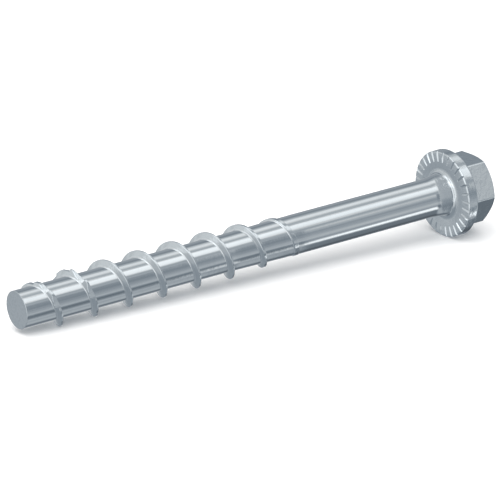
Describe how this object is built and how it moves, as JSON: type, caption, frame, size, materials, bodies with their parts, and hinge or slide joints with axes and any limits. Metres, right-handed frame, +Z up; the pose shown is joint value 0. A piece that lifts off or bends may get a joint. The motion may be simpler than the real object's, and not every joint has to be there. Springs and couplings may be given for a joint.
{
  "type": "concrete screw",
  "caption": "Hexagon flange head screw with a coarse self-cutting thread, notched near the tip, for a drilled hole in concrete.",
  "frame": {"origin": "centre of the bottom of the bounding box: the screw lies on a surface at Z = 0", "axes": "+X from the tip towards the head, +Y level and square to it, +Z up. The screw's own axis rises 2.35 degrees from the tip to the head, in the XZ plane"},
  "size_m": [0.1088, 0.0178, 0.0178],
  "materials": {
    "zinc_plate": "galvanised zinc plate with a pale blue passivation, bright, with lengthwise drawing marks on the shank"
  },
  "bodies": {
    "root": {"concrete_screw": "zinc_plate"}
  },
  "joints": []
}
